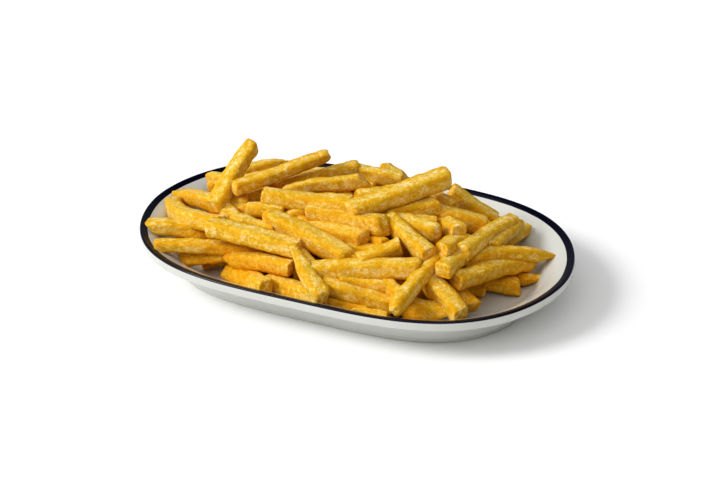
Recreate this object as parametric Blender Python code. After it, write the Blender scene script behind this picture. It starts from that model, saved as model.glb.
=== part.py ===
"""A portion of french fries heaped on an oval dish.

Metres, +Z up. The origin is on the table, under the middle of the dish.
X runs along the dish and Y across it. Sizes below are in millimetres.
"""
import math
import random

import bmesh
import bpy
import numpy as np
from mathutils import Vector

MM = 0.001

# The dish: an oval whose ends are squarer than its sides.
DISH_HALF_LONG = 133.0
DISH_HALF_WIDE = 86.7
END_POWER = 3.5
SIDE_POWER = 1.84
DISH_SEGMENTS = 72
RIM_HEIGHT = 26.5
FLOOR_TOP = 4.8
FOOT_OUTER_INSET = 23.0
FOOT_INNER_INSET = 27.0
RECESS_HEIGHT = 1.5

# Section of the dish, as (how far in from the rim's edge, height).
INNER_PROFILE = (
    (0.0, RIM_HEIGHT - 1.2),      # edge of the lip
    (0.9, RIM_HEIGHT),            # crest of the lip
    (5.4, RIM_HEIGHT - 1.8),      # inner edge of the coloured band
    (11.0, 21.6),                 # sloping flange
    (18.2, 15.5),                 # crease where the flange meets the well
    (22.0, 10.5),                 # wall of the well
    (27.0, 6.8),
    (34.0, 5.2),
    (44.0, FLOOR_TOP),
)
OUTER_PROFILE = (
    (0.2, 21.5),                  # outer face of the lip
    (1.2, 20.2),                  # underside of the lip
    (8.0, 16.5),
    (15.0, 12.5),
    (18.5, 8.0),
    (20.5, 4.0),
    (22.0, 2.5),
    (FOOT_OUTER_INSET, 0.0),      # foot ring
    (FOOT_INNER_INSET, 0.0),
    (FOOT_INNER_INSET + 1.0, RECESS_HEIGHT),
    (44.0, RECESS_HEIGHT),
)
CENTRE_RINGS = (0.66, 0.33)       # the flat floor's rings, as shares of its outline

# The heap: a low dome of fries, whose middles lie on this surface.
DOME_X = -8.0
DOME_Y = 4.0
DOME_HALF_LONG = 120.0
DOME_HALF_WIDE = 82.0
DOME_POWER = 2.3
DOME_ROUNDNESS = 0.8
DOME_EDGE = 16.0
DOME_TOP = 53.0
BACK_FROM = 22.0                  # past this Y the far side falls away faster
BACK_FALL = 0.30

# The packed middle of the heap, below the fries that show.
CORE_HALF_LONG = 88.0
CORE_HALF_WIDE = 62.0
CORE_SEGMENTS = 40
CORE_RINGS = 9
CORE_DEPTH = 9.0                  # how far it lies below the dome
HEAP_GAP = 0.6                    # air between the fries and the glaze
ROOM_TOP = 110.0

FRY_THICKNESS = 9.0
END_REACH = 0.45                  # a fry reaches past its end point by this share of its thickness

# The fries that give the heap its outline and its top, laid by hand:
# end, other end, and how far the middle bows sideways.
LAID_FRIES = (
    ((-72, -32, 47), (-70, 3, 68), 0),       # stands up at the left
    ((-108, 25, 31), (-72, 30, 41), 0),
    ((-118, 5, 26), (-77, -24, 40), 0),      # left end, reaching over the flange
    ((-116, -6, 27), (-69, -38, 37), -8),
    ((-110, -42, 29), (-71, -43, 31), 0),
    ((-97, -61, 29), (-46, -55, 33), 0),
    ((-63, -49, 39), (-13, -53, 40), 0),     # front left
    ((-83, -52, 18), (-51, -48, 27), 0),
    ((-50, -59, 27), (-14, -60, 30), 0),
    ((-55, -52, 14), (-23, -73, 23), 0),
    ((-22, -65, 22), (10, -73, 25), 0),      # front
    ((-9, -60, 40), (14, -76, 27), 0),
    ((6, -63, 34), (56, -44, 37), 0),
    ((18, -66, 28), (47, -62, 23), 0),
    ((-35, -38, 45), (16, -49, 40), 0),
    ((60, -75, 30), (59, -26, 34), 0),
    ((70, -42, 30), (87, -54, 24), 0),
    ((58, -54, 18), (78, -53, 19), 0),
    ((-43, -24, 52), (4, -19, 55), 0),       # top
    ((-66, -15, 50), (-28, 18, 63), 0),
    ((-46, -1, 50), (-14, 31, 53), 0),
    ((-14, -21, 45), (25, -20, 46), 0),
    ((10, -25, 55), (46, 24, 61), 0),
    ((22, -9, 48), (44, 9, 49), 0),
    ((31, -17, 48), (59, -33, 42), 0),
    ((53, 31, 47), (70, 36, 36), 0),         # right
    ((52, 14, 44), (72, 21, 38), 0),
    ((76, -18, 40), (81, 39, 31), 0),
    ((84, 9, 32), (84, 52, 27), 0),
    ((77, -13, 29), (112, 30, 22), 2),
    ((80, -34, 30), (99, 19, 19), 0),
    ((78, 3, 13), (96, 5, 11), 0),
)

# The rest of the heap: fries thrown at random, kept where they cross none before.
THROWN_SEED = 7
THROWN_LAYERS = (1.0, -7.0, -14.0)    # how far each layer lies from the dome's surface
TOP_LAYER_FROM_Y = 30.0           # the top layer is thrown only on the far side
THROWN_TRIES = 700
THROWN_LENGTHS = (30.0, 56.0)
THROWN_REACH = 0.92               # share of the dome's width that they fall in
THROWN_X = (-94.0, 84.0)          # the dish stays bare past these ends
CLOSEST = 0.75                    # least distance between two fries, in thicknesses
SAMPLES = 7                       # points compared along each fry
THROWN_INSET = 14.0               # least distance in from the dish's edge
ABOVE_GLAZE = 0.6                 # a fry's middle clears the glaze by this share of its thickness
HELD_UP = 0.5                     # share of the dome's bulge under a fry that lifts its ends

DISH_SMOOTH_ANGLE = 40.0          # degrees between faces that still look smooth
HEAP_SMOOTH_ANGLE = 30.0


def sign(value):
    return math.copysign(1.0, value)


def rim_point(turn, inset):
    """A point of the dish's outline, moved in from the edge square to it."""
    along = math.cos(turn)
    across = math.sin(turn)
    x = DISH_HALF_LONG * sign(along) * abs(along) ** (2.0 / END_POWER)
    y = DISH_HALF_WIDE * sign(across) * abs(across) ** (2.0 / SIDE_POWER)
    slope_x = END_POWER * sign(x) * abs(x / DISH_HALF_LONG) ** (END_POWER - 1.0) / DISH_HALF_LONG
    slope_y = SIDE_POWER * sign(y) * abs(y / DISH_HALF_WIDE) ** (SIDE_POWER - 1.0) / DISH_HALF_WIDE
    steepness = math.hypot(slope_x, slope_y)
    return x - inset * slope_x / steepness, y - inset * slope_y / steepness


def dish_ring(inset, height, share=1.0):
    """One closed ring of the dish, in metres."""
    ring = []
    for step in range(DISH_SEGMENTS):
        x, y = rim_point(2.0 * math.pi * (step + 0.5) / DISH_SEGMENTS, inset)
        ring.append((share * x * MM, share * y * MM, height * MM))
    return ring


def loft(name, rings, closed_round):
    """A closed solid through rings of points, capped at both ends or joined end to end."""
    mesh = bmesh.new()
    rows = [[mesh.verts.new(point) for point in ring] for ring in rings]
    pairs = list(zip(rows, rows[1:]))
    if closed_round:
        pairs.append((rows[-1], rows[0]))
    for lower, upper in pairs:
        count = len(lower)
        for step in range(count):
            after = (step + 1) % count
            mesh.faces.new((lower[step], lower[after], upper[after], upper[step]))
    if not closed_round:
        mesh.faces.new(rows[0])
        mesh.faces.new(rows[-1])
    bmesh.ops.triangulate(mesh, faces=mesh.faces[:])
    bmesh.ops.recalc_face_normals(mesh, faces=mesh.faces[:])
    return finish_object(name, mesh)


def finish_object(name, mesh):
    data = bpy.data.meshes.new(name)
    mesh.to_mesh(data)
    mesh.free()
    piece = bpy.data.objects.new(name, data)
    bpy.context.scene.collection.objects.link(piece)
    return piece


def material(name, colour, roughness):
    made = bpy.data.materials.new(name)
    made.use_nodes = True
    shader = made.node_tree.nodes["Principled BSDF"]
    shader.inputs["Base Color"].default_value = (*colour, 1.0)
    shader.inputs["Roughness"].default_value = roughness
    shader.inputs["Metallic"].default_value = 0.0
    return made


def smooth(piece, angle):
    piece.data.shade_smooth()
    piece.data.set_sharp_from_angle(angle=math.radians(angle))


def build_dish():
    """The dish: from the middle of its underside out over the foot to the lip and back in."""
    floor_inset = INNER_PROFILE[-1][0]
    rings = [dish_ring(floor_inset, RECESS_HEIGHT, share) for share in reversed(CENTRE_RINGS)]
    rings += [dish_ring(inset, height) for inset, height in reversed(OUTER_PROFILE)]
    rings += [dish_ring(inset, height) for inset, height in INNER_PROFILE]
    rings += [dish_ring(floor_inset, FLOOR_TOP, share) for share in CENTRE_RINGS]
    dish = loft("plate", rings, closed_round=False)
    smooth(dish, DISH_SMOOTH_ANGLE)
    dish.data.materials.append(material("glazed_ware", (0.80, 0.79, 0.74), 0.18))
    return dish


def edge_inset(x, y):
    """About how far a point lies in from the dish's edge."""
    share = abs(x / DISH_HALF_LONG) ** END_POWER + abs(y / DISH_HALF_WIDE) ** SIDE_POWER
    slope = math.hypot(END_POWER * abs(x / DISH_HALF_LONG) ** (END_POWER - 1.0) / DISH_HALF_LONG,
                       SIDE_POWER * abs(y / DISH_HALF_WIDE) ** (SIDE_POWER - 1.0) / DISH_HALF_WIDE)
    return (1.0 - share) / max(slope, 1.0 / DISH_HALF_LONG)


def dish_surface(x, y):
    """Height of the glaze under a point."""
    insets = [point[0] for point in INNER_PROFILE]
    heights = [point[1] for point in INNER_PROFILE]
    return float(np.interp(edge_inset(x, y), insets, heights))


def dome_height(x, y):
    """Height of the fries' middles above the table."""
    spread = (abs((x - DOME_X) / DOME_HALF_LONG) ** DOME_POWER
              + abs((y - DOME_Y) / DOME_HALF_WIDE) ** DOME_POWER)
    height = DOME_EDGE + (DOME_TOP - DOME_EDGE) * max(0.0, 1.0 - spread) ** DOME_ROUNDNESS
    return height - BACK_FALL * max(0.0, y - BACK_FROM)


def build_core():
    """The packed middle: an oval foot on the dish that rises under the dome."""
    rings = []
    foot = []
    for step in range(CORE_SEGMENTS):
        turn = 2.0 * math.pi * step / CORE_SEGMENTS
        foot.append((DOME_X + CORE_HALF_LONG * math.cos(turn), DOME_Y + CORE_HALF_WIDE * math.sin(turn)))
    rings.append([(x * MM, y * MM, FLOOR_TOP * MM) for x, y in foot])
    for level in range(CORE_RINGS):
        share = math.cos(0.5 * math.pi * level / CORE_RINGS)
        ring = []
        for x, y in foot:
            x_in = DOME_X + share * (x - DOME_X)
            y_in = DOME_Y + share * (y - DOME_Y)
            ring.append((x_in * MM, y_in * MM, (dome_height(x_in, y_in) - CORE_DEPTH) * MM))
        rings.append(ring)
    return loft("heap_core", rings, closed_round=False)


def fry_middles(end, other_end, bow):
    """Middles along a fry, and the directions of its width and height."""
    start = Vector(end)
    stop = Vector(other_end)
    length = (stop - start).normalized()
    side = Vector((0.0, 0.0, 1.0)).cross(length).normalized()
    rise = length.cross(side)
    reach = END_REACH * FRY_THICKNESS
    middles = [start - reach * length, stop + reach * length]
    if bow:
        middles.insert(1, (start + stop) / 2.0 + bow * side)
    return middles, side, rise


def build_fry(name, end, other_end, bow):
    """A plain square bar for one fry."""
    middles, side, rise = fry_middles(end, other_end, bow)
    half = FRY_THICKNESS / 2.0
    rings = []
    for middle in middles:
        corners = []
        for across, up in ((1, 1), (-1, 1), (-1, -1), (1, -1)):
            corners.append(tuple((middle + across * half * side + up * half * rise) * MM))
        rings.append(corners)
    return loft(name, rings, closed_round=False)


def line_distance(first, second):
    """Least distance between two fries' middle lines, sampled along both."""
    shares = np.linspace(0.0, 1.0, SAMPLES)[:, None]
    one = np.array(first[0]) * (1.0 - shares) + np.array(first[1]) * shares
    two = np.array(second[0]) * (1.0 - shares) + np.array(second[1]) * shares
    return float(np.linalg.norm(one[:, None, :] - two[None, :, :], axis=2).min())


def thrown_fries():
    """Fries that fall at random over the dome and lie along its slope."""
    chance = random.Random(THROWN_SEED)
    placed = [(end, other_end) for end, other_end, bow in LAID_FRIES]
    thrown = []
    for layer in THROWN_LAYERS:
        for attempt in range(THROWN_TRIES):
            turn = chance.uniform(0.0, 2.0 * math.pi)
            out = THROWN_REACH * math.sqrt(chance.random())
            x = DOME_X + out * DOME_HALF_LONG * math.cos(turn)
            y = DOME_Y + out * DOME_HALF_WIDE * math.sin(turn)
            heading = chance.uniform(0.0, math.pi)
            half = chance.uniform(*THROWN_LENGTHS) / 2.0
            ends = []
            for way in (-1.0, 1.0):
                end_x = x + way * half * math.cos(heading)
                end_y = y + way * half * math.sin(heading)
                lowest = dish_surface(end_x, end_y) + ABOVE_GLAZE * FRY_THICKNESS
                ends.append((end_x, end_y, max(dome_height(end_x, end_y) + layer, lowest)))
            bulge = dome_height(x, y) + layer - (ends[0][2] + ends[1][2]) / 2.0
            lift = HELD_UP * max(0.0, bulge)
            ends = [(end_x, end_y, end_z + lift) for end_x, end_y, end_z in ends]
            if layer > 0.0 and min(ends[0][1], ends[1][1]) < TOP_LAYER_FROM_Y:
                continue
            if not all(THROWN_X[0] < end_x < THROWN_X[1] and edge_inset(end_x, end_y) > THROWN_INSET
                       for end_x, end_y, end_z in ends):
                continue
            if any(line_distance(ends, other) < CLOSEST * FRY_THICKNESS for other in placed):
                continue
            placed.append(tuple(ends))
            thrown.append(tuple(ends))
    return thrown


def boolean(piece, operation, other=None, collection=None):
    step = piece.modifiers.new(operation.lower(), "BOOLEAN")
    step.operation = operation
    if collection is not None:
        step.operand_type = "COLLECTION"
        step.collection = collection
    else:
        step.object = other
    step.use_self = True


def hide_tool(tool):
    tool.hide_render = True
    tool.display_type = "WIRE"


def build_room():
    """The space that food can fill: it follows the glaze with a little air, and opens upward."""
    rings = []
    floor_inset = INNER_PROFILE[-1][0]
    for share in reversed(CENTRE_RINGS):
        rings.append(dish_ring(floor_inset, FLOOR_TOP + HEAP_GAP, share))
    for inset, height in reversed(INNER_PROFILE[1:]):
        rings.append(dish_ring(inset + HEAP_GAP, height + HEAP_GAP))
    rings.append(dish_ring(INNER_PROFILE[1][0] + HEAP_GAP, ROOM_TOP))
    return loft("room_above_dish", rings, closed_round=False)


def outer_skin(piece):
    """Applies the modifiers and keeps the outer skin, without the hollows sealed inside it."""
    graph = bpy.context.evaluated_depsgraph_get()
    mesh = bmesh.new()
    mesh.from_mesh(bpy.data.meshes.new_from_object(piece.evaluated_get(graph)))
    bmesh.ops.triangulate(mesh, faces=mesh.faces[:])
    seen = set()
    skins = []
    for face in mesh.faces:
        if face in seen:
            continue
        seen.add(face)
        skin = [face]
        for member in skin:
            for edge in member.edges:
                for neighbour in edge.link_faces:
                    if neighbour not in seen:
                        seen.add(neighbour)
                        skin.append(neighbour)
        skins.append(skin)
    skins.sort(key=len, reverse=True)
    inner = [face for skin in skins[1:] for face in skin]
    bmesh.ops.delete(mesh, geom=inner, context="FACES")
    piece.modifiers.clear()
    mesh.to_mesh(piece.data)
    mesh.free()


def build_heap():
    """The heap as one solid: its packed middle, every fry that shows, and room for the dish."""
    heap = build_core()
    heap.name = "fries_heap"
    bars = bpy.data.collections.new("fry_bars")
    bpy.context.scene.collection.children.link(bars)
    rows = list(LAID_FRIES) + [(end, other_end, 0) for end, other_end in thrown_fries()]
    for number, (end, other_end, bow) in enumerate(rows):
        bar = build_fry(f"fry_bar_{number:03d}", end, other_end, bow)
        hide_tool(bar)
        bpy.context.scene.collection.objects.unlink(bar)
        bars.objects.link(bar)
    room = build_room()
    hide_tool(room)
    boolean(heap, "UNION", collection=bars)
    boolean(heap, "INTERSECT", other=room)
    outer_skin(heap)
    smooth(heap, HEAP_SMOOTH_ANGLE)
    heap.data.materials.append(material("fried_potato", (0.84, 0.52, 0.08), 0.55))
    return heap


def main():
    for leftover in list(bpy.data.objects):
        bpy.data.objects.remove(leftover)
    build_dish()
    build_heap()


main()
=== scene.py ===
"""A portion of french fries heaped on a banded oval dish.

Sizes are in millimetres from the middle of the dish's underside, on the table.
X runs along the dish, Y across it to the far side, Z up. Meshes are made in metres.
"""
import math
import random

import bpy
import numpy as np
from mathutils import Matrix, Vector, noise


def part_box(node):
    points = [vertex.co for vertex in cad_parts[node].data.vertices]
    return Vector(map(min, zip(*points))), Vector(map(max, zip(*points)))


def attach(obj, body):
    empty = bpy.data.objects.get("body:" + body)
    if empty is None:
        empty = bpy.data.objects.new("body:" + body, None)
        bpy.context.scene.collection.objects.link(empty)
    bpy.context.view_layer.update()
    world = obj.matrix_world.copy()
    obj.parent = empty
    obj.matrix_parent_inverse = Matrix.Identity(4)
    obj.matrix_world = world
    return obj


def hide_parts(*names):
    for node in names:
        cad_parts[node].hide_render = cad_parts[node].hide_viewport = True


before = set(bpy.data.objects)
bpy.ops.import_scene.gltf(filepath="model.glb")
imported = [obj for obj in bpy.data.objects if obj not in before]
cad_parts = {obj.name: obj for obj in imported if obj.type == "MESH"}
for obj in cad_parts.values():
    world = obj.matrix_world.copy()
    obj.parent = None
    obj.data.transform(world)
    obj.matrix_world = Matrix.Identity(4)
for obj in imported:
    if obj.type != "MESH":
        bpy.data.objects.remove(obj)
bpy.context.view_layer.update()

MM = 0.001

PLATE_LOW, PLATE_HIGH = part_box("plate")
MIDDLE = (PLATE_LOW + PLATE_HIGH) / 2.0
PLACE = np.array((MIDDLE.x, MIDDLE.y, PLATE_LOW.z)) / MM   # the table under the dish's middle

# ---- the dish -------------------------------------------------------------------------

DISH_HALF_LONG = (PLATE_HIGH.x - PLATE_LOW.x) / 2.0 / MM
DISH_HALF_WIDE = (PLATE_HIGH.y - PLATE_LOW.y) / 2.0 / MM
RIM_HEIGHT = (PLATE_HIGH.z - PLATE_LOW.z) / MM
END_POWER = 3.5                   # the ends are squarer than the sides
SIDE_POWER = 1.84
FLOOR_TOP = 4.8
RECESS_HEIGHT = 1.5
FOOT_OUTER_INSET = 23.0
FOOT_INNER_INSET = 27.0
FLOOR_INSET = 44.0

# Section of the dish, as (how far in from the rim's edge, height).
INNER_PROFILE = (
    (0.0, RIM_HEIGHT - 1.2),      # edge of the lip
    (0.3, RIM_HEIGHT - 0.35),
    (1.0, RIM_HEIGHT),            # crest of the lip
    (3.0, RIM_HEIGHT - 0.65),
    (5.4, RIM_HEIGHT - 1.8),      # just past the coloured band
    (11.0, 21.6),                 # sloping flange
    (16.8, 17.0),
    (18.4, 15.4),                 # crease where the flange meets the well
    (20.2, 13.0),
    (22.4, 10.0),                 # wall of the well
    (27.0, 6.8),
    (34.0, 5.2),
    (FLOOR_INSET, FLOOR_TOP),
)
OUTER_PROFILE = (
    (0.05, RIM_HEIGHT - 2.6),
    (0.3, 21.5),                  # outer face of the lip
    (1.3, 20.1),                  # underside of the lip
    (8.0, 16.6),
    (14.6, 12.9),
    (16.6, 11.2),                 # shoulder under the flange
    (18.6, 8.0),
    (20.4, 4.2),
    (21.6, 2.6),
    (FOOT_OUTER_INSET - 0.3, 0.5),
    (FOOT_OUTER_INSET + 0.5, 0.0),
    (FOOT_INNER_INSET - 0.5, 0.0),
    (FOOT_INNER_INSET + 0.3, 0.5),
    (FOOT_INNER_INSET + 1.4, RECESS_HEIGHT),
    (FLOOR_INSET, RECESS_HEIGHT),
)
DISH_SEGMENTS = 288
OUTLINE_SAMPLES = 7200
PROFILE_STEPS = 4                 # rings made between two points of the section
FLOOR_RINGS = 9
BARE_BELOW = 0.2                  # the glaze is wiped off the foot below this height

# ---- the heap -------------------------------------------------------------------------

# The low dome that the fries of each layer lie along.
DOME_X = -8.0
DOME_Y = 4.0
DOME_HALF_LONG = 120.0
DOME_HALF_WIDE = 82.0
DOME_POWER = 2.3
DOME_ROUNDNESS = 0.8
DOME_EDGE = 16.0
DOME_TOP = 53.0
BACK_FROM = 22.0                  # past this Y the far side falls away faster
BACK_FALL = 0.30

END_REACH = 0.45                  # a fry reaches past its end point by this share of its thickness

# The shape of a fry's end: length of the taper, width and height left at the tip,
# how full the taper is (1 is a quarter circle, 0 a straight slope), and how much
# further the top edge reaches than the bottom edge, as a share of the height.
END_SHAPES = {
    "cut": (1.3, 0.86, 0.84, 1.0, 0.0),
    "round": (3.6, 0.55, 0.52, 1.0, 0.0),
    "point": (14.0, 0.38, 0.16, 0.25, 0.0),
    "wedge": (9.0, 0.72, 0.22, 0.3, 0.0),
    "ragged": (3.0, 0.66, 0.56, 0.8, 0.0),
    "high": (1.5, 0.82, 0.80, 1.0, 0.75),
    "low": (1.5, 0.82, 0.80, 1.0, -0.85),
}

# Every fry that can be told apart from the front, placed one by one. Each row gives an end,
# the other end, the thickness (or one for each end), and the shape of both ends. Where the
# fry is bent, its bow to the side and its arch upward follow.
LAID_FRIES = {
    "fries_left": (
        # stands up at the back left
        ((-72.5, -32.5, 47), (-69.5, 3, 67.5), (10.6, 8.6), "cut", "round", 0.8, 0.5),
        ((-99, 9, 34), (-68, 21, 42), 8.0, "round", "cut"),
        # leans on the lip at the left end
        ((-118.5, 5.5, 24.5), (-80.5, -17, 36.5), 9.8, "high", "cut", 0.0, 1.0),
        # hooked round at the left end
        ((-116.5, -6, 25), (-69.5, -38, 37), 10.0, "round", "cut", -8.5, 0.0),
        ((-109.5, -41, 27), (-77.5, -32, 26), (9.8, 8.4), "high", "cut", 0.0, 0.5),
        ((-97, -61, 26.5), (-38.5, -46, 29), (7.4, 6.8), "round", "cut", 0.0, 0.8),
        ((-62.5, -53.5, 41.5), (-13.5, -53.5, 40), 10.6, "cut", "cut", 0.0, 0.8),
        ((-83, -52, 17), (-51, -48, 27), 9.0, "cut", "cut"),
        ((-77, -41, 9), (-70.5, -35, 10.5), 6.0, "cut", "cut"),
        ((-67, -23.5, 44), (-61.5, -22, 45), 8.0, "round", "cut"),
        ((-72, -24, 41), (-50, -26, 43), 8.0, "round", "cut"),
        ((-51, -31.5, 46.5), (-35.5, -28.5, 46.5), 8.0, "cut", "cut"),
        ((-67, -32.5, 43.5), (-60, -36, 41.5), 7.4, "cut", "cut"),
        ((-53, -41, 42), (-33, -42, 42), 8.0, "cut", "cut"),
        ((-84.5, 29, 38), (-71.5, 44.5, 38.5), (10, 8.5), "cut", "point", 0.0, 1.0),
        ((-107.5, 26, 30.5), (-91.5, 19.5, 35), 7.6, "high", "cut"),
        ((-61, -16, 45.5), (-54, -12, 46.5), 7.6, "cut", "cut"),
    ),
    "fries_front": (
        ((-52, -53.5, 23.5), (-14.5, -60, 30.5), 9.8, "wedge", "cut", 0.0, 0.8),
        ((-55.5, -49.5, 13), (-22, -75, 23), (9, 10.2), "low", "cut"),
        ((-21.5, -65, 21), (9.5, -73, 24.5), 9.0, "cut", "cut"),
        ((-8.5, -60.5, 40.5), (14, -76, 27), (7.2, 10.2), "point", "ragged"),
        ((-10, -51, 36.5), (1, -58, 33.5), 5.5, "cut", "cut"),
        # lies along the front of the heap
        ((6, -63, 34), (56, -44, 37.5), 9.8, "high", "round"),
        # thick, slopes down to the front
        ((-34, -37.5, 45.5), (15.5, -49, 39.5), 12.0, "round", "round", 0.0, 0.5),
        ((59.5, -75, 30), (65, -29.5, 38), (8.2, 7), "ragged", "cut", 0.0, 0.6),
        ((68.5, -41, 28), (86.5, -53.5, 22.5), 11.0, "cut", "cut"),
        ((74, -28.5, 22), (84.5, -34, 17), 10.6, "cut", "cut"),
        ((58.5, -54, 17), (78, -53.5, 18), (10.6, 10), "round", "wedge", 0.0, 0.8),
        ((18.5, -66.5, 27.5), (47, -62, 22), (9.6, 9.2), "high", "cut"),
        ((46, -54, 29), (55, -59, 27), 7.0, "cut", "cut"),
        ((36, -77, 24), (53.5, -75, 23), 4.0, "point", "ragged"),
        ((22, -60, 29), (42, -55, 28), 8.0, "cut", "cut"),
        ((12, -67, 18), (36, -66, 17), 8.5, "cut", "cut"),
    ),
    "fries_top": (
        # long, across the middle
        ((-42, -23.5, 52.5), (3, -19, 55), 11.0, "cut", "cut", 0.0, -0.5),
        # slopes up to the back
        ((-61.5, -25.5, 56.5), (-28, 17, 64), (9.2, 7), "cut", "ragged"),
        ((-46.5, -1, 50), (-14, 31.5, 53.5), (6, 7.6), "point", "ragged"),
        ((-37.5, -9.5, 52.5), (-1.5, 12.5, 55.5), (6.2, 8), "wedge", "low"),
        ((-17, -31.5, 42), (18.5, -36, 44.5), 10.4, "cut", "cut"),
        ((-27.5, -27, 46), (-16.5, -19, 45), 8.8, "wedge", "cut"),
        ((-11, -28, 49), (28, -27, 50), (9.6, 11.6), "cut", "round", 1.5, 0.0),
        # the biggest, over the top
        ((13, -23, 55.5), (46, 23.5, 61), (11.4, 11.8), "cut", "round", 0.0, 0.8),
        ((22.5, -8.5, 48), (43.5, 8.5, 49), 10.4, "cut", "cut"),
        ((31.5, -17, 48), (58.5, -33, 42.5), 9.8, "cut", "cut", 0.0, 0.5),
        ((33.5, -10, 45), (55, -13.5, 46), 10.2, "cut", "round"),
        ((22, -26, 41), (32, -32, 42), 8.0, "cut", "cut"),
        ((28.5, -47.5, 38), (41, -35.5, 42), 9.8, "cut", "cut"),
        ((14.5, -42, 38), (31.5, -36, 38), 8.8, "cut", "cut"),
        ((8, -42, 40), (22, -46, 37), 8.0, "cut", "cut"),
        ((-13, 32, 51.5), (12, 36.5, 48.5), 8.2, "cut", "cut"),
        ((4.5, 42.5, 49), (11, 40.5, 46.5), 8.0, "high", "cut"),
        ((3.5, 5.5, 48.5), (18.5, 21.5, 48.5), 8.5, "cut", "cut"),
        ((25, -2.5, 45), (49, -0.5, 44), 8.0, "cut", "cut"),
    ),
    "fries_right": (
        ((28, 29.5, 47), (50.5, 26, 44), 9.0, "cut", "cut"),
        ((49, 40, 42), (66.5, 44.5, 31), (11.5, 10), "cut", "cut"),
        ((52, 13.5, 43.5), (71, 21, 37.5), 10.4, "cut", "cut"),
        ((54, 9.5, 40), (67, -6, 45.5), 9.4, "cut", "cut"),
        ((67.5, -26, 43.5), (70, -8, 40.5), 9.0, "cut", "cut"),
        ((73.5, -39, 38.5), (75, -21, 36.5), 9.0, "cut", "cut"),
        ((76.5, -17.5, 39.5), (82.5, 39.5, 32), (9.6, 8.6), "cut", "cut", 0.0, 1.2),
        ((84.5, 9.5, 32), (84.5, 52, 26.5), 9.0, "cut", "wedge", 0.0, 1.0),
        # long and pointed, toward the bare end
        ((77, -13, 29), (112.5, 30, 20), (9, 6.8), "cut", "point", 2.0, 4.5),
        ((80.5, -33.5, 30.5), (101, 20, 18.5), (9.8, 8.4), "cut", "cut", 0.0, 1.2),
        ((78, 3, 12), (98.5, 5.5, 11), (9.5, 11), "cut", "round"),
        ((90, 17, 10), (107.5, 17, 11), 8.0, "cut", "wedge"),
        ((82, 28.5, 23.5), (86, 53.5, 21.5), 8.0, "cut", "cut"),
        ((75.5, -7, 12), (81.5, -5, 11), 8.0, "cut", "cut"),
    ),
}

# The rest of the heap: fries thrown at random, kept where they cross none before.
# Each layer gives how far it lies from the dome's surface, and the nearest Y it comes to.
THROWN_SEED = 7
THROWN_LAYERS = {
    "fries_back": ((1.0, 30.0), (-6.0, 22.0)),
    "fries_below": ((-7.0, -80.0), (-13.0, -80.0), (-18.0, -80.0)),
}
THROWN_TRIES = 900
THROWN_LENGTHS = (32.0, 60.0)
THROWN_THICKNESS = (7.6, 9.6)
THROWN_REACH = 0.93               # share of the dome's width that they fall in
THROWN_X = (-94.0, 84.0)          # the dish stays bare past these ends
CLOSEST = 7.2                     # least distance between the middles of two fries
CLEAR_OF_GLAZE = 0.6              # least height of a fry's middle, in thicknesses
HELD_UP = 0.5                     # share of the dome's bulge under a fry that lifts its ends
THROWN_INSET = 15.0               # least distance in from the dish's edge
THROWN_BOW = 2.5                  # most that one bows to either side
THROWN_ARCH = 0.8
THROWN_ENDS = ("cut", "cut", "cut", "round", "round", "wedge", "ragged", "point")
SAMPLES = 9                       # points compared along each fry

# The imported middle, under all of them.
CORE_HALF_LONG = 84.0
CORE_HALF_WIDE = 56.0
CORE_DEPTH = 17.0                 # how far it lies below the dome
CORE_GAP = 0.6                    # air between it and the glaze
CORE_AROUND = 160
CORE_RINGS = 44
CORE_SEED = 3

# How finely a fry's surface is made.
AROUND = 24
STEP = 1.35
END_STEPS = (0.0, 0.15, 0.45, 0.9, 1.5, 2.3, 3.2)
CAP_SHARES = (0.16, 0.42, 0.70, 0.90)
FEWEST_RINGS = 4

# How one fry differs from the next: the least and the most of each.
FRY_SEEDS = (101, 17)             # a fry's seed is its number times the first, plus the second
CAP_BULGE = (-0.25, 0.55)         # its ends dome in or out this far
WAVER = (0.5, 1.0)                # its middle line wavers this far, in this many waves
WAVES = (0.7, 1.3)
WAVER_ACROSS = 0.5                # shares of the waver that go to the side and upward
WAVER_UP = 0.6
SQUARENESS = (4.5, 8.0)           # of its section: 2 is round, more has sharper corners
OBLONG = (0.93, 1.08)             # wider than high, or higher than wide
SKEW = (-0.12, 0.12)              # its sides slant
ROLL = (-0.12, 0.12)              # turned round its own length, in radians
TWIST = (-0.18, 0.18)             # twisted from end to end, in radians
BELLY = (-0.05, 0.05)             # swollen or shrunk between its ends, as a share
BELLY_WAVES = (0.03, 5.0)         # and uneven by this share, with waves this close
END_LEANS = (-0.7, -0.4, 0.5, 0.7)    # a tapered end keeps to its bottom or top face
END_TILT = (-0.28, 0.28)          # its cut ends slant this much
END_FADE = 4.0                    # and the slant dies out over this length
TORN_LUMP = 2.6                   # size of the lumps that make an end uneven
TORN_DEPTH = 0.35                 # how far they stand out
RAGGED_DEPTH = 1.5                # and how far on a ragged end
TORN_SEED_STEP = 50               # their seed is the fry's number plus this

# Relief of the fried skin: size of a lump and how far it stands out.
SKIN_LUMPS = ((10.0, 0.55), (4.4, 0.38), (2.2, 0.26))
CORE_LUMPS = ((14.0, 2.4), (6.0, 1.1))
LUMP_STRIDE = (7.3, 3.1, 1.7)     # each seed takes its lumps this far from the last one's

# Painted shade: the crust is painted a deeper gold on undersides and deep in the heap, where shade falls.
SHADE_DEPTH = 14.0                  # painted shade deepens over this far down into the heap
SHADE_LIMITS = (-0.2, 0.8)          # least and most painted shade that the depth adds
SHADE_AT_TIPS = 0.5
BROWNED_REACH = 2.6               # an end's browning dies out over this length
PATTERN_STRIDE = 37.0             # each fry takes its own stretch of the crust's pattern


def sign(value):
    return np.where(value < 0.0, -1.0, 1.0)


def unit(vectors):
    return vectors / np.linalg.norm(vectors, axis=-1, keepdims=True)


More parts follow.
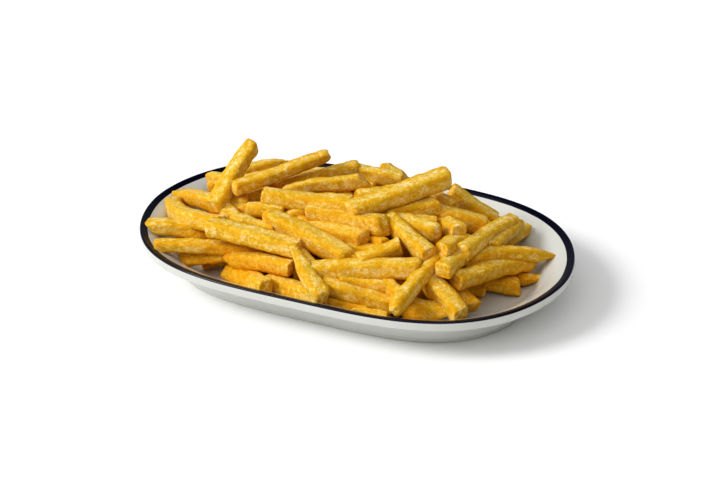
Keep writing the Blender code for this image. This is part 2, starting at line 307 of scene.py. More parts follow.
def outline(turns, inset):
    """The dish's outline at the given turns, moved in from the edge square to it."""
    along, across = np.cos(turns), np.sin(turns)
    x = DISH_HALF_LONG * sign(along) * np.abs(along) ** (2.0 / END_POWER)
    y = DISH_HALF_WIDE * sign(across) * np.abs(across) ** (2.0 / SIDE_POWER)
    slope_x = END_POWER * sign(x) * np.abs(x / DISH_HALF_LONG) ** (END_POWER - 1.0) / DISH_HALF_LONG
    slope_y = SIDE_POWER * sign(y) * np.abs(y / DISH_HALF_WIDE) ** (SIDE_POWER - 1.0) / DISH_HALF_WIDE
    steep = np.hypot(slope_x, slope_y)
    return np.stack((x - inset * slope_x / steep, y - inset * slope_y / steep), axis=1)


def even_turns():
    """Turns that space points evenly along the outline."""
    turns = np.linspace(0.0, 2.0 * math.pi, OUTLINE_SAMPLES + 1)
    edge = outline(turns, 0.0)
    length = np.concatenate(([0.0], np.cumsum(np.linalg.norm(np.diff(edge, axis=0), axis=1))))
    wanted = np.linspace(0.0, length[-1], DISH_SEGMENTS, endpoint=False)
    return np.interp(wanted, length, turns)


def smooth_line(points, steps):
    """A smooth line through the points of a section."""
    points = np.array(points, dtype=float)
    padded = np.vstack((2.0 * points[0] - points[1], points, 2.0 * points[-1] - points[-2]))
    line = []
    for before, here, after, beyond in zip(padded, padded[1:], padded[2:], padded[3:]):
        for step in range(steps):
            t = step / steps
            line.append(0.5 * (2.0 * here + (after - before) * t
                               + (2.0 * before - 5.0 * here + 4.0 * after - beyond) * t ** 2
                               + (3.0 * here - before - 3.0 * after + beyond) * t ** 3))
    line.append(points[-1])
    return np.array(line)


def make_piece(name, points, faces, attributes, finish):
    """A smooth-shaded mesh in the object's frame, with a number or a vector for each of its points."""
    data = bpy.data.meshes.new(name)
    data.from_pydata(((points + PLACE) * MM).tolist(), [], faces)
    for label, values in attributes.items():
        kind, slot = ("FLOAT", "value") if values.ndim == 1 else ("FLOAT_VECTOR", "vector")
        layer = data.attributes.new(label, kind, "POINT")
        layer.data.foreach_set(slot, values.astype(np.float32).ravel())
    data.shade_smooth()
    data.update()
    data.materials.append(finish)
    piece = bpy.data.objects.new(name, data)
    bpy.context.scene.collection.objects.link(piece)
    return piece


def tube_faces(rings, around, first=0):
    """Faces of a closed tube of rings, whose points start at first and end with the two ends' middles."""
    faces = []
    for ring in range(rings - 1):
        low = first + ring * around
        for step in range(around):
            after = (step + 1) % around
            faces.append((low + step, low + after, low + around + after, low + around + step))
    start_point = first + rings * around
    last = first + (rings - 1) * around
    for step in range(around):
        after = (step + 1) % around
        faces.append((first + after, first + step, start_point))
        faces.append((last + step, last + after, start_point + 1))
    return faces


def build_dish(finish):
    """The dish in one skin, from the middle of its underside over the foot and lip to its floor."""
    outside = list(reversed(OUTER_PROFILE))
    section = smooth_line(outside + list(INNER_PROFILE), PROFILE_STEPS)
    lip_index = len(outside) * PROFILE_STEPS
    steps = np.concatenate(([0.0], np.cumsum(np.linalg.norm(np.diff(section, axis=0), axis=1))))
    from_lip = steps - steps[lip_index]
    turns = even_turns()
    shares = [(ring + 0.5) / FLOOR_RINGS for ring in range(FLOOR_RINGS)]
    floor = outline(turns, FLOOR_INSET)
    rings = []
    ways = []
    for share in shares:
        rings.append(np.column_stack((share * floor, np.full(DISH_SEGMENTS, RECESS_HEIGHT))))
        ways.append(from_lip[0])
    for (inset, height), way in zip(section, from_lip):
        rings.append(np.column_stack((outline(turns, inset), np.full(DISH_SEGMENTS, max(height, 0.0)))))
        ways.append(way)
    for share in reversed(shares):
        rings.append(np.column_stack((share * floor, np.full(DISH_SEGMENTS, FLOOR_TOP))))
        ways.append(from_lip[-1])
    points = np.vstack(rings + [[(0.0, 0.0, RECESS_HEIGHT), (0.0, 0.0, FLOOR_TOP)]])
    from_edge = np.concatenate((np.repeat(ways, DISH_SEGMENTS), (from_lip[0], from_lip[-1])))
    bare_foot = (points[:, 2] < BARE_BELOW).astype(float)
    faces = tube_faces(len(rings), DISH_SEGMENTS)
    return make_piece("oval_dish", points, faces, {"from_lip": from_edge, "bare_foot": bare_foot}, finish)


def edge_inset(x, y):
    """About how far a point lies in from the dish's edge."""
    long_share, wide_share = abs(x / DISH_HALF_LONG), abs(y / DISH_HALF_WIDE)
    share = long_share ** END_POWER + wide_share ** SIDE_POWER
    slope = math.hypot(END_POWER * long_share ** (END_POWER - 1.0) / DISH_HALF_LONG,
                       SIDE_POWER * wide_share ** (SIDE_POWER - 1.0) / DISH_HALF_WIDE)
    return (1.0 - share) / max(slope, 1.0 / DISH_HALF_LONG)


def dish_surface(x, y):
    """Height of the glaze under a point."""
    insets, heights = zip(*INNER_PROFILE)
    return float(np.interp(edge_inset(x, y), insets, heights))


def dome_height(x, y):
    """Height of the middles of the top fries above the table."""
    spread = (abs((x - DOME_X) / DOME_HALF_LONG) ** DOME_POWER
              + abs((y - DOME_Y) / DOME_HALF_WIDE) ** DOME_POWER)
    height = DOME_EDGE + (DOME_TOP - DOME_EDGE) * max(0.0, 1.0 - spread) ** DOME_ROUNDNESS
    return height - BACK_FALL * max(0.0, y - BACK_FROM)


def lump_field(places, size, seed):
    """Smooth lumps of one size at each of the places."""
    away = Vector([seed * stride for stride in LUMP_STRIDE])
    return np.array([noise.noise(Vector(place) / size + away) for place in places])


def end_taper(distance, shape):
    """Width and height left at a distance from a fry's end, as shares of its thickness."""
    length, tip_width, tip_height, fullness = END_SHAPES[shape][:4]
    share = np.clip(distance / length, 0.0, 1.0)
    arc = np.sqrt(1.0 - (1.0 - share) ** 2)
    grown = fullness * arc + (1.0 - fullness) * share
    return tip_width + (1.0 - tip_width) * grown, tip_height + (1.0 - tip_height) * grown


def ring_ways(total, chance):
    """Where a fry's rings are: the caps', the close ones at each end, and even ones between.

    Gives how far along the fry each is cut, its share of the full section, and how far
    along it stands once the caps have domed.
    """
    ends, cap = np.array(END_STEPS), np.array(CAP_SHARES)
    count = max(FEWEST_RINGS, round((total - 2.0 * ends[-1]) / STEP))
    between = np.linspace(ends[-1], total - ends[-1], count)
    way = np.concatenate((np.zeros(len(cap)), ends[:-1], between, total - ends[:-1][::-1],
                          np.full(len(cap), total)))
    share = np.concatenate((cap, np.ones(len(way) - 2 * len(cap)), cap[::-1]))
    bulge = chance.uniform(*CAP_BULGE), chance.uniform(*CAP_BULGE)
    dome = 1.0 - share ** 2
    return way, share, way + np.where(way < total / 2.0, -bulge[0], bulge[1]) * dome


def middle_line(tip, ahead, along, t, bow, arch, chance):
    """The middles of a fry's rings, and the way ahead, the side and the rise of each.

    The line bows, arches and wavers a little.
    """
    side = unit(np.cross((0.0, 0.0, 1.0), ahead))
    rise = np.cross(ahead, side)
    hump = 4.0 * t * (1.0 - t)
    depth, waves, phase = chance.uniform(*WAVER), chance.uniform(*WAVES), chance.random()
    waver = depth * np.sin(2.0 * math.pi * (t * waves + phase))
    lift = WAVER_UP * waver * chance.uniform(-1.0, 1.0)
    middles = (tip + along[:, None] * ahead
               + (hump * bow + WAVER_ACROSS * waver)[:, None] * side + (hump * arch + lift)[:, None] * rise)
    first, last = len(CAP_SHARES), len(along) - len(CAP_SHARES)
    tangents = np.tile(ahead, (len(along), 1))
    tangents[first:last] = unit(np.gradient(middles[first:last], axis=0))
    tangents[:first] = tangents[first]
    tangents[last:] = tangents[last - 1]
    sides = unit(side - np.sum(tangents * side, axis=1)[:, None] * tangents)
    return middles, tangents, sides, np.cross(tangents, sides)


def end_slants(flat, across, up, near_ends, shapes, seed, chance):
    """How far the slanting, uneven ends move each point along the fry."""
    slant = np.zeros(across.shape)
    for near, shape, facing in zip(near_ends, shapes, (-1.0, 1.0)):
        tilt_across = chance.uniform(*END_TILT)
        tilt_up = facing * END_SHAPES[shape][4] or chance.uniform(*END_TILT)
        depth = RAGGED_DEPTH if shape == "ragged" else TORN_DEPTH
        torn = depth * lump_field(flat, TORN_LUMP, seed).reshape(across.shape)
        slant += np.exp(-near / END_FADE)[:, None] * (tilt_across * across + tilt_up * up + facing * torn)
    return slant


def painted_shade_amount(points, faces_up):
    """Painted shade: how much deeper gold is painted on undersides and on what lies deep in the heap, where
    shade falls.
    """
    deep = np.array([dome_height(x, y) - z for x, y, z in points]) / SHADE_DEPTH
    return 0.5 - 0.5 * faces_up + np.clip(deep, *SHADE_LIMITS)


def shape_fry(number, start, stop, thickness, start_shape, stop_shape, bow=0.0, arch=0.0):
    """One fry: a strip of potato, uneven, with its own ends. Gives its points and what varies."""
    chance = random.Random(number * FRY_SEEDS[0] + FRY_SEEDS[1])
    first, last = thickness if isinstance(thickness, tuple) else (thickness, thickness)
    start, stop = np.array(start, dtype=float), np.array(stop, dtype=float)
    ahead = unit(stop - start)
    reach = END_REACH * (first + last) / 2.0
    total = float(np.linalg.norm(stop - start)) + 2.0 * reach
    way, share, along = ring_ways(total, chance)
    t = np.clip(way / total, 0.0, 1.0)
    middles, tangents, sides, rises = middle_line(start - reach * ahead, ahead, along, t, bow, arch, chance)

    # Its section is a square with soft corners, a little oblong, skewed and twisted.
    angles = 2.0 * math.pi * (np.arange(AROUND) + 0.5) / AROUND
    squareness = chance.uniform(*SQUARENESS)
    power = np.abs(np.cos(angles)) ** squareness + np.abs(np.sin(angles)) ** squareness
    radius = power ** (-1.0 / squareness)
    corner = (radius - 1.0) / (radius.max() - 1.0)
    oblong = chance.uniform(*OBLONG)
    skew = chance.uniform(*SKEW)
    roll = chance.uniform(*ROLL) + chance.uniform(*TWIST) * (t - 0.5)
    near_start, near_stop = way, total - way
    width_a, height_a = end_taper(near_start, start_shape)
    width_b, height_b = end_taper(near_stop, stop_shape)
    uneven, closeness = BELLY_WAVES
    belly = 1.0 + chance.uniform(*BELLY) * np.cos(math.pi * t) + uneven * np.sin(closeness * t + number)
    thick = first + (last - first) * t
    half_width = 0.5 * thick * oblong * belly * width_a * width_b * share
    half_height = 0.5 * thick / oblong * belly * height_a * height_b * share
    lean = chance.choice(END_LEANS), chance.choice(END_LEANS)
    drop = 0.5 * thick * (lean[0] * (1.0 - height_a) + lean[1] * (1.0 - height_b))
    across = half_width[:, None] * radius * np.cos(angles)
    up = half_height[:, None] * radius * np.sin(angles)
    across = across + skew * up

    # Lumps push the skin in and out; ragged and slanting ends move along the fry.
    flat = np.stack((np.repeat(along[:, None], AROUND, axis=1), across, up), axis=2).reshape(-1, 3)
    relief = sum(depth * lump_field(flat, size, number) for size, depth in SKIN_LUMPS)
    reach_out = np.maximum(np.hypot(across, up), 0.5)
    grow = 1.0 + relief.reshape(across.shape) * share[:, None] ** 0.5 / reach_out
    slant = end_slants(flat, across, up, (near_start, near_stop), (start_shape, stop_shape),
                       number + TORN_SEED_STEP, chance)
    cosine, sine = np.cos(roll)[:, None], np.sin(roll)[:, None]
    turned_across = grow * (across * cosine - up * sine)
    turned_up = grow * (across * sine + up * cosine) + drop[:, None]
    points = (middles[:, None, :] + slant[:, :, None] * tangents[:, None, :]
              + turned_across[:, :, None] * sides[:, None, :] + turned_up[:, :, None] * rises[:, None, :])
    tips = np.stack((points[0].mean(axis=0), points[-1].mean(axis=0)))
    points = points.reshape(-1, 3)

    # How far each point faces up, for the painted shade on undersides.
    square_on = unit(np.stack((sign(np.cos(angles)) * np.abs(np.cos(angles)) ** (squareness - 1.0),
                               sign(np.sin(angles)) * np.abs(np.sin(angles)) ** (squareness - 1.0)), axis=1))
    faces_up = (square_on[:, 0] * sides[:, 2:] + square_on[:, 1] * rises[:, 2:]) * share[:, None]
    browned = np.repeat(np.exp(-np.minimum(near_start, near_stop) / BROWNED_REACH), AROUND)
    place = np.vstack((flat, ((0.0, 0.0, 0.0), (total, 0.0, 0.0)))) + (PATTERN_STRIDE * number, 0.0, 0.0)
    varies = {
        "strip_place": place,
        "near_end": np.concatenate((browned, (1.0, 1.0))),
        "at_corner": np.concatenate(((corner[None, :] * share[:, None]).ravel(), (0.0, 0.0))),
        "fry_tone": np.full(len(place), chance.random()),
        # Painted shade on undersides and deep in the heap.
        "painted_shade": np.concatenate((painted_shade_amount(points, faces_up.ravel()), (SHADE_AT_TIPS, SHADE_AT_TIPS))),
    }
    return np.vstack((points, tips)), varies


def line_points(start, stop):
    """Points spread along a fry's middle line."""
    t = np.linspace(0.0, 1.0, SAMPLES)[:, None]
    return np.array(start, dtype=float) * (1.0 - t) + np.array(stop, dtype=float) * t


def dropped_ends(x, y, heading, half, thickness, layer):
    """The ends of a fry that fell on the dome and lies along its slope, clear of the glaze."""
    ends = []
    for facing in (-1.0, 1.0):
        end_x = x + facing * half * math.cos(heading)
        end_y = y + facing * half * math.sin(heading)
        lowest = dish_surface(end_x, end_y) + CLEAR_OF_GLAZE * thickness
        ends.append([end_x, end_y, max(dome_height(end_x, end_y) + layer, lowest)])
    sag = dome_height(x, y) + layer - (ends[0][2] + ends[1][2]) / 2.0
    for end in ends:
        end[2] += HELD_UP * max(0.0, sag)
    return ends


def within_reach(ends, nearest_y):
    """Whether both ends of a thrown fry lie where such fries may be."""
    return all(end[1] >= nearest_y and THROWN_X[0] < end[0] < THROWN_X[1]
               and edge_inset(end[0], end[1]) > THROWN_INSET for end in ends)


def throw_fries():
    """Fries that fall at random over the dome, layer under layer, and cross none before."""
    chance = random.Random(THROWN_SEED)
    placed = [line_points(row[0], row[1]) for rows in LAID_FRIES.values() for row in rows]
    heap = {}
    for name, layers in THROWN_LAYERS.items():
        heap[name] = []
        for layer, nearest_y in layers:
            for _ in range(THROWN_TRIES):
                turn = chance.uniform(0.0, 2.0 * math.pi)
                out = THROWN_REACH * math.sqrt(chance.random())
                x = DOME_X + out * DOME_HALF_LONG * math.cos(turn)
                y = DOME_Y + out * DOME_HALF_WIDE * math.sin(turn)
                heading = chance.uniform(0.0, math.pi)
                half = chance.uniform(*THROWN_LENGTHS) / 2.0
                thickness = chance.uniform(*THROWN_THICKNESS)
                bow = chance.uniform(-THROWN_BOW, THROWN_BOW)
                shapes = chance.choice(THROWN_ENDS), chance.choice(THROWN_ENDS)
                start, stop = dropped_ends(x, y, heading, half, thickness, layer)
                if not within_reach((start, stop), nearest_y):
                    continue
                line = line_points(start, stop)
                gaps = np.linalg.norm(np.array(placed)[:, :, None, :] - line[None, None, :, :], axis=3)
                if gaps.min() < CLOSEST:
                    continue
                placed.append(line)
                heap[name].append((start, stop, thickness, *shapes, bow, THROWN_ARCH))
    return heap


def build_fries(name, rows, first_number, finish):
    """A group of fries joined in one piece."""
    points, faces, varies = [], [], {}
    count = 0
    for number, row in enumerate(rows, start=first_number):
        fry_points, fry_varies = shape_fry(number, *row)
        faces += tube_faces((len(fry_points) - 2) // AROUND, AROUND, count)
        count += len(fry_points)
        points.append(fry_points)
        for label, values in fry_varies.items():
            varies.setdefault(label, []).append(values)
    joined = {label: np.concatenate(values) for label, values in varies.items()}
    return make_piece(name, np.vstack(points), faces, joined, finish)


def build_core(finish):
    """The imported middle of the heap, lumpy like the fries pressed together in it."""
    turns = 2.0 * math.pi * np.arange(CORE_AROUND) / CORE_AROUND
    underside = FLOOR_TOP + CORE_GAP
    rings = []
    for level in range(CORE_RINGS + 1):
        share = math.cos(0.5 * math.pi * level / (CORE_RINGS + 1))
        x = DOME_X + share * CORE_HALF_LONG * np.cos(turns)
        y = DOME_Y + share * CORE_HALF_WIDE * np.sin(turns)
        height = np.array([dome_height(*place) - CORE_DEPTH for place in zip(x, y)])
        rings.append(np.column_stack((x, y, height)))
    foot = rings[0].copy()
    foot[:, 2] = underside
    points = np.vstack([foot] + rings)
    relief = sum(depth * lump_field(points, size, CORE_SEED) for size, depth in CORE_LUMPS)
    points[CORE_AROUND:, 2] += relief[CORE_AROUND:]
    top = (DOME_X, DOME_Y, dome_height(DOME_X, DOME_Y) - CORE_DEPTH)
    points = np.vstack((points, [(DOME_X, DOME_Y, underside), top]))
    points[:, 2] = np.maximum(points[:, 2], underside)
    return make_piece("packed_middle", points, tube_faces(len(rings) + 1, CORE_AROUND), {}, finish)


# ---- finishes -------------------------------------------------------------------------

# Colours are sRGB hex values and sizes are millimetres, as everywhere.
# The crust's colours, from smooth and golden to blistered and pale.
CRUST_COLOURS = ((0.38, "#DCAA12"), (0.45, "#E2B72E"), (0.52, "#EACB6C"), (0.60, "#F4E2B0"))
FRY_TINT = "#F2D468"              # darker fries are tinted with this
SHADE_TINT = "#FFDF28"              # and painted shade, on undersides and deep in the heap, with this
BROWNED = "#CC8A04"
# The packed middle is painted in shade: deep golden brown, as fries out of the light look.
PACKED_SHADE_COLOURS = ((0.35, "#B07404"), (0.65, "#D49C0C"))

# Sizes in the crust's pattern, and how much each counts in it.
PATCH_SIZE, PATCH_SHARE = 8.0, 0.20
CLUSTER_SIZE, CLUSTER_SHARE = 2.6, 0.35
BLISTER_SIZE, BLISTER_SHARE = 1.0, 0.40
FIBRE_STRETCH = 1.25              # blisters are this much longer along the strip's fibres
CRUST_RELIEF = 0.8                # how far the pattern stands out
PACKED_SIZE = 4.0
PACKED_RELIEF = 0.3

GLAZE_COLOURS = "#D2D2CC", "#CBCCC6"
BAND_COLOUR = "#03041C"
BARE_CLAY = "#DDD6C6"
BAND_START = (0.10, 0.35)         # the band's soft edges, as ways over the lip from its outer edge
BAND_END = (5.85, 6.10)
BAND_WAVER = 0.5                  # how far the band's inner edge wanders, over about
BAND_WAVER_SIZE = 9.0             # this length
GLAZE_WAVE_SIZE = 5.0
GLAZE_RELIEF = 0.03

PAPER_COLOURS = "#FAFAFA", "#FCFCFC"
PAPER_TOOTH = 3.0


def colour(code):
    """A linear colour from an sRGB hex value such as #F0C24B."""
    parts = [int(code[place:place + 2], 16) / 255.0 for place in (1, 3, 5)]
    linear = [part / 12.92 if part <= 0.04045 else ((part + 0.055) / 1.055) ** 2.4 for part in parts]
    return (*linear, 1.0)


def add(tree, kind, settings=None, **links):
    """Adds a node, sets its properties and sockets, and links sockets to other nodes' outputs."""
    node = tree.nodes.new(kind)
    for name, value in (settings or {}).items():
        if hasattr(node, name):
            setattr(node, name, value)
        else:
            node.inputs[int(name) if name.isdigit() else name].default_value = value
    for name, output in links.items():
        key = name.replace("_", " ")
        socket = node.inputs[int(key[5:])] if key.startswith("input") else node.inputs[key]
        tree.links.new(output, socket)
    return node


def new_finish(name, **sockets):
    """A material with its Principled shader, whose even values are set on the shader's own sockets."""
    made = bpy.data.materials.new(name)
    made.use_nodes = True
    tree = made.node_tree
    shader = tree.nodes["Principled BSDF"]
    for socket, value in sockets.items():
        shader.inputs[socket.replace("_", " ")].default_value = value
    return made, tree, shader


def per_mm(size):
    """Scale of a texture whose pattern repeats about every so many millimetres, in metres' space."""
    return 1.0 / (size * MM)


def ramp_stops(ramp, stops):
    """Sets a colour ramp's stops from pairs of place and linear colour."""
    elements = ramp.color_ramp.elements
    while len(elements) < len(stops):
        elements.new(1.0)
    for element, (place, linear) in zip(elements, stops):
        element.position = place
        element.color = linear


def crust_pattern(tree, place, at_corner):
    """The clusters of blisters, and the whole pattern, which is high where the crust blistered.

    Its places are in millimetres along and across the strip, so a scale is one over a size.
    """
    along_fibres = add(tree, "ShaderNodeMapping", {"Scale": (1.0 / FIBRE_STRETCH, 1.0, 1.0)},
                       Vector=place).outputs[0]
    patches = add(tree, "ShaderNodeTexNoise",
                  {"Scale": 1.0 / PATCH_SIZE, "Detail": 2.0, "Roughness": 0.5},
                  Vector=place).outputs["Fac"]
    clusters = add(tree, "ShaderNodeTexNoise",
                   {"Scale": 1.0 / CLUSTER_SIZE, "Detail": 2.0, "Roughness": 0.6},
                   Vector=along_fibres).outputs["Fac"]
    blisters = add(tree, "ShaderNodeTexNoise",
                   {"Scale": 1.0 / BLISTER_SIZE, "Detail": 2.0, "Roughness": 0.6},
                   Vector=along_fibres).outputs["Fac"]
    # The flat of each face blistered more, and came out paler, than the strip's corners.
    pattern = add(tree, "ShaderNodeMath", {"operation": "MULTIPLY_ADD", "1": -0.08, "2": 0.03},
                  input0=at_corner).outputs[0]
    for part, counts in ((patches, PATCH_SHARE), (clusters, CLUSTER_SHARE), (blisters, BLISTER_SHARE)):
        pattern = add(tree, "ShaderNodeMath", {"operation": "MULTIPLY_ADD", "1": counts},
                      input0=part, input2=pattern).outputs[0]
    return clusters, pattern


def fried_potato():
    """Potato strips fried in oil: a dry golden crust, paler where it blistered, painted shade in a deeper
    yellow on undersides and deep in the heap, browner at the ends, and a little light passes into it."""
    made, tree, shader = new_finish(
        "fried_potato_crust", IOR=1.45, Metallic=0.0, Specular_IOR_Level=0.14, Subsurface_Weight=0.35,
        Subsurface_Radius=(1.0, 0.55, 0.12), Subsurface_Scale=0.0030)
    place = add(tree, "ShaderNodeAttribute", {"attribute_name": "strip_place"}).outputs["Vector"]
    tone, painted_shade, near_end, at_corner = (
        add(tree, "ShaderNodeAttribute", {"attribute_name": label}).outputs["Fac"]
        for label in ("fry_tone", "painted_shade", "near_end", "at_corner"))
    clusters, pattern = crust_pattern(tree, place, at_corner)
    crust = add(tree, "ShaderNodeValToRGB", Fac=pattern)
    ramp_stops(crust, [(height, colour(code)) for height, code in CRUST_COLOURS])

    # Each fry took a little more or less colour, and painted shade makes the gold deeper on undersides and
    # deep in the heap.
    deeper = add(tree, "ShaderNodeMapRange", {"To Max": 0.35}, Value=tone)
    toned = add(tree, "ShaderNodeMix",
                {"data_type": "RGBA", "blend_type": "MULTIPLY", "7": colour(FRY_TINT)},
                Factor=deeper.outputs[0], input6=crust.outputs["Color"])
    shade_share = add(tree, "ShaderNodeMapRange", {"From Min": 0.10, "From Max": 0.90, "To Max": 0.8},
               Value=painted_shade)
    shaded_crust = add(tree, "ShaderNodeMix",
                {"data_type": "RGBA", "blend_type": "MULTIPLY", "7": colour(SHADE_TINT)},
                Factor=shade_share.outputs[0], input6=toned.outputs[2])

    # Ends and corners brown first, in spots between the clusters.
    spots = add(tree, "ShaderNodeMapRange", {"From Min": 0.60, "From Max": 0.40}, Value=clusters)
    edges = add(tree, "ShaderNodeMath", {"operation": "MULTIPLY_ADD", "1": 0.6},
                input0=at_corner, input2=near_end)
    browned = add(tree, "ShaderNodeMath", {"operation": "MULTIPLY", "use_clamp": True},
                  input0=edges.outputs[0], input1=spots.outputs[0])
    browner = add(tree, "ShaderNodeMath", {"operation": "MULTIPLY", "1": 0.38}, input0=browned.outputs[0])
    skin = add(tree, "ShaderNodeMix", {"data_type": "RGBA", "7": colour(BROWNED)},
               Factor=browner.outputs[0], input6=shaded_crust.outputs[2])
    tree.links.new(skin.outputs[2], shader.inputs["Base Color"])

    # Blistered crust is dry, and the smooth skin between has a soft sheen of oil.
    sheen = add(tree, "ShaderNodeMapRange",
                {"From Min": 0.35, "From Max": 0.65, "To Min": 0.45, "To Max": 0.62}, Value=clusters)
    tree.links.new(sheen.outputs[0], shader.inputs["Roughness"])
    bump = add(tree, "ShaderNodeBump", {"Strength": 0.9, "Distance": CRUST_RELIEF * MM}, Height=pattern)
    tree.links.new(bump.outputs["Normal"], shader.inputs["Normal"])
    return made


def packed_potato_in_shade():
    """The same fried crust, pressed together out of the light and painted in its shade: deep golden brown.
    """
    made, tree, shader = new_finish("fried_potato_painted_shade", IOR=1.45, Metallic=0.0, Roughness=0.6)
    place = add(tree, "ShaderNodeTexCoord").outputs["Object"]
    mottle = add(tree, "ShaderNodeTexNoise", {"Scale": per_mm(PACKED_SIZE), "Detail": 3.0},
                 Vector=place).outputs["Fac"]
    crust = add(tree, "ShaderNodeValToRGB", Fac=mottle)
    ramp_stops(crust, [(height, colour(code)) for height, code in PACKED_SHADE_COLOURS])
    tree.links.new(crust.outputs["Color"], shader.inputs["Base Color"])
    bump = add(tree, "ShaderNodeBump", {"Strength": 0.5, "Distance": PACKED_RELIEF * MM}, Height=mottle)
    tree.links.new(bump.outputs["Normal"], shader.inputs["Normal"])
    return made


def glazed_stoneware():
    """White vitrified stoneware under a clear glaze: glossy, faintly uneven, with a hand-banded
    navy underglaze line on the lip and a bare, duller foot where it stood in the kiln."""
    made, tree, shader = new_finish("glazed_stoneware_banded", IOR=1.5, Metallic=0.0,
                                    Specular_IOR_Level=0.25)
    place = add(tree, "ShaderNodeTexCoord").outputs["Object"]
    from_lip = add(tree, "ShaderNodeAttribute", {"attribute_name": "from_lip"}).outputs["Fac"]
    bare = add(tree, "ShaderNodeAttribute", {"attribute_name": "bare_foot"}).outputs["Fac"]
    waver = add(tree, "ShaderNodeTexNoise", {"Scale": per_mm(BAND_WAVER_SIZE), "Detail": 2.0},
                Vector=place).outputs["Fac"]
    waves = add(tree, "ShaderNodeTexNoise", {"Scale": per_mm(GLAZE_WAVE_SIZE), "Detail": 1.0},
                Vector=place).outputs["Fac"]

    # The band covers the lip to about 4.7 mm in, and only its inner edge wavers.
    wavering = add(tree, "ShaderNodeMath", {"operation": "MULTIPLY_ADD", "1": BAND_WAVER},
                   input0=waver, input2=from_lip)
    inner_edge = add(tree, "ShaderNodeMapRange",
                     {"From Min": BAND_END[0], "From Max": BAND_END[1], "To Min": 1.0, "To Max": 0.0},
                     Value=wavering.outputs[0])
    outer_edge = add(tree, "ShaderNodeMapRange",
                     {"From Min": BAND_START[0], "From Max": BAND_START[1]}, Value=from_lip)
    band = add(tree, "ShaderNodeMath", {"operation": "MULTIPLY"},
               input0=inner_edge.outputs[0], input1=outer_edge.outputs[0])
    body = add(tree, "ShaderNodeMix",
               {"data_type": "RGBA", "6": colour(GLAZE_COLOURS[0]), "7": colour(GLAZE_COLOURS[1])},
               Factor=waver)
    banded = add(tree, "ShaderNodeMix", {"data_type": "RGBA", "7": colour(BAND_COLOUR)},
                 Factor=band.outputs[0], input6=body.outputs[2])
    footed = add(tree, "ShaderNodeMix", {"data_type": "RGBA", "7": colour(BARE_CLAY)},
                 Factor=bare, input6=banded.outputs[2])
    tree.links.new(footed.outputs[2], shader.inputs["Base Color"])

    # The glaze is mirror-smooth, a little softer over the pigment, and absent on the foot.
    softer = add(tree, "ShaderNodeMapRange", {"To Min": 0.10, "To Max": 0.24}, Value=band.outputs[0])
    dull = add(tree, "ShaderNodeMath", {"operation": "MULTIPLY_ADD", "1": 0.5},
               input0=bare, input2=softer.outputs[0])
    tree.links.new(dull.outputs[0], shader.inputs["Roughness"])
    bump = add(tree, "ShaderNodeBump", {"Strength": 0.25, "Distance": GLAZE_RELIEF * MM}, Height=waves)
    tree.links.new(bump.outputs["Normal"], shader.inputs["Normal"])
    return made


def white_paper():
    """A matt white paper sweep under the dish, with the faint tooth of paper."""
    made, tree, shader = new_finish("white_paper_sweep", Roughness=0.95, Specular_IOR_Level=0.1)
    place = add(tree, "ShaderNodeTexCoord").outputs["Object"]
    tooth = add(tree, "ShaderNodeTexNoise", {"Scale": per_mm(PAPER_TOOTH), "Detail": 2.0}, Vector=place)
    paper = add(tree, "ShaderNodeMix",
                {"data_type": "RGBA", "6": colour(PAPER_COLOURS[0]), "7": colour(PAPER_COLOURS[1])},
                Factor=tooth.outputs["Fac"])
    tree.links.new(paper.outputs[2], shader.inputs["Base Color"])
    return made


# ---- studio ---------------------------------------------------------------------------

CAMERA_TURN = 24.35               # degrees round to the dish's right end
CAMERA_LIFT = 27.39               # degrees above the table
CAMERA_DISTANCE = 1001.5
CAMERA_AIM = (6.25, -4.85, 26.0)
CAMERA_LENS = 85.0
FLOOR_SIZE = 8000.0
FLOOR_GAP = 0.1                   # the floor lies this far under the foot
# Each lamp: where it stands, its strength, and how wide it looks in degrees.
LAMPS = {
    "key_light": ((-0.60, -0.52, 0.60), 1.45, 20.0),     # at the near left, over a third of the way up
    "side_light": ((-0.80, -0.36, 0.42), 0.65, 55.0),    # broad, lower at the left
    "fill_light": ((0.00, -0.35, 0.94), 1.45, 90.0),     # broad, overhead
}
# Brightness of the surround from the floor up: sine of the height above the horizon, strength.
SURROUND = ((0.0, 0.22), (0.20, 0.22), (0.34, 0.26), (0.55, 0.18), (0.72, 0.03), (1.0, 0.03))


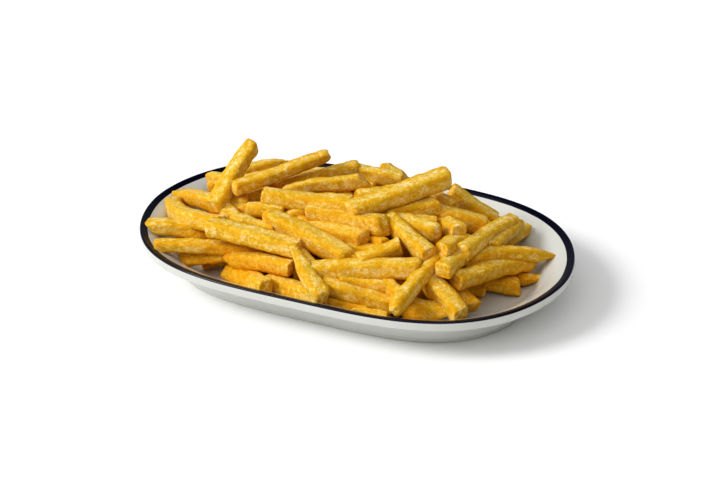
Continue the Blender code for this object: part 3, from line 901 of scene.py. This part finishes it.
def build_studio():
    """A white floor, a soft key from the near left with a broad side light below it, a broad
    fill overhead, and walls that are bright to half way up."""
    half = FLOOR_SIZE / 2.0
    corners = np.array(((-half, -half, 0), (half, -half, 0), (half, half, 0), (-half, half, 0)), dtype=float)
    corners[:, 2] = -FLOOR_GAP
    make_piece("studio_floor", corners, [(0, 1, 2, 3)], {}, white_paper())

    for name, (stands, strength, spread) in LAMPS.items():
        lamp = bpy.data.lights.new(name, "SUN")
        lamp.energy = strength
        lamp.angle = math.radians(spread)
        hung = bpy.data.objects.new(name, lamp)
        hung.rotation_euler = Vector(stands).to_track_quat("Z", "Y").to_euler()
        bpy.context.scene.collection.objects.link(hung)

    world = bpy.data.worlds.new("white_surround")
    world.use_nodes = True
    tree = world.node_tree
    toward = add(tree, "ShaderNodeTexCoord").outputs["Generated"]
    up = add(tree, "ShaderNodeSeparateXYZ", Vector=toward).outputs["Z"]
    walls = add(tree, "ShaderNodeValToRGB", Fac=up)
    ramp_stops(walls, [(sine, (strength, strength, strength, 1.0)) for sine, strength in SURROUND])
    tree.links.new(walls.outputs["Color"], tree.nodes["Background"].inputs["Color"])
    bpy.context.scene.world = world
    bpy.context.scene.view_settings.view_transform = "Standard"
    bpy.context.scene.view_settings.look = "Medium High Contrast"


def build_camera():
    turn, lift = math.radians(CAMERA_TURN), math.radians(CAMERA_LIFT)
    back = Vector((math.sin(turn) * math.cos(lift), -math.cos(turn) * math.cos(lift), math.sin(lift)))
    lens = bpy.data.cameras.new("camera")
    lens.lens = CAMERA_LENS
    camera = bpy.data.objects.new("camera", lens)
    camera.location = (Vector(CAMERA_AIM) + Vector(PLACE) + CAMERA_DISTANCE * back) * MM
    camera.rotation_euler = back.to_track_quat("Z", "Y").to_euler()
    bpy.context.scene.collection.objects.link(camera)
    bpy.context.scene.camera = camera


def main():
    build_camera()
    build_studio()

    dish = build_dish(glazed_stoneware())
    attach(dish, "root")
    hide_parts("plate")

    potato = fried_potato()
    groups = {**LAID_FRIES, **throw_fries()}
    pieces = [build_core(packed_potato_in_shade())]
    number = 1
    for name, rows in groups.items():
        pieces.append(build_fries(name, rows, number, potato))
        number += len(rows)
    for piece in pieces:
        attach(piece, "root")
        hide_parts("fries_heap")


main()
